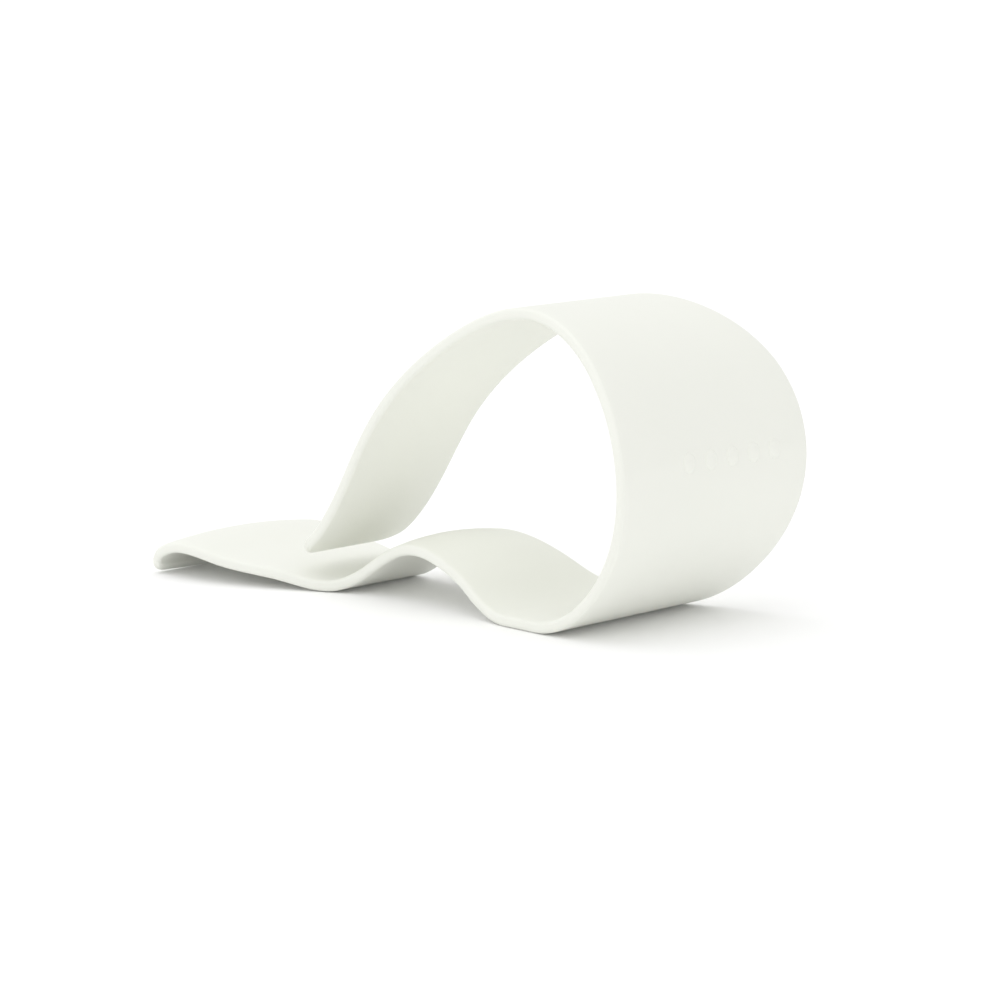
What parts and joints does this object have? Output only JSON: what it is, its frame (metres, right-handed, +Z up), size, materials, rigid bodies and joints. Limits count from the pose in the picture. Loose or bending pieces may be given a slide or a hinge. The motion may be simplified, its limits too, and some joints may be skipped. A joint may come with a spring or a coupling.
{
  "type": "sprung finger clip",
  "caption": "Sprung finger clip: a moulded band with a long tongue, a hump and a flat heel, curled into a bow whose arm presses a lip towards the tongue.",
  "frame": {"origin": "centre of the part's box in X and Y, at the level of the surface that it stands on", "axes": "+X from the tongue's tip to the back of the bow, +Y across the band, +Z up"},
  "size_m": [0.059, 0.0258, 0.0276],
  "materials": {
    "band_plastic": "satin moulded off-white plastic"
  },
  "bodies": {
    "lower_arm": {"tongue": "band_plastic", "valley": "band_plastic", "hump": "band_plastic", "heel": "band_plastic"},
    "haunch": {"bow_haunch": "band_plastic"},
    "back": {"bow_back": "band_plastic"},
    "shoulder": {"bow_shoulder": "band_plastic"},
    "upper_arm": {"crown": "band_plastic", "arm": "band_plastic", "lip": "band_plastic"}
  },
  "joints": [
    {"name": "haunch_flex", "type": "hinge", "parent": "lower_arm", "child": "haunch", "pos_m": [0.02503, 0, 0.0042], "axis": [0, 1, 0], "range_deg": [0, 4.5], "stiffness_Nm_per_rad": 0.15},
    {"name": "back_flex", "type": "hinge", "parent": "haunch", "child": "back", "pos_m": [0.02893, 0, 0.012], "axis": [0, 1, 0], "range_deg": [0, 5.5], "stiffness_Nm_per_rad": 0.15},
    {"name": "shoulder_flex", "type": "hinge", "parent": "back", "child": "shoulder", "pos_m": [0.02623, 0, 0.0217], "axis": [0, 1, 0], "range_deg": [0, 5], "stiffness_Nm_per_rad": 0.15},
    {"name": "crown_flex", "type": "hinge", "parent": "shoulder", "child": "upper_arm", "pos_m": [0.01603, 0, 0.02685], "axis": [0, 1, 0], "range_deg": [0, 6], "stiffness_Nm_per_rad": 0.15}
  ],
  "couplings": [
    {"joint": "back_flex", "follows": "haunch_flex", "ratio": 1.2},
    {"joint": "shoulder_flex", "follows": "haunch_flex", "ratio": 1.1},
    {"joint": "crown_flex", "follows": "haunch_flex", "ratio": 1.3}
  ]
}
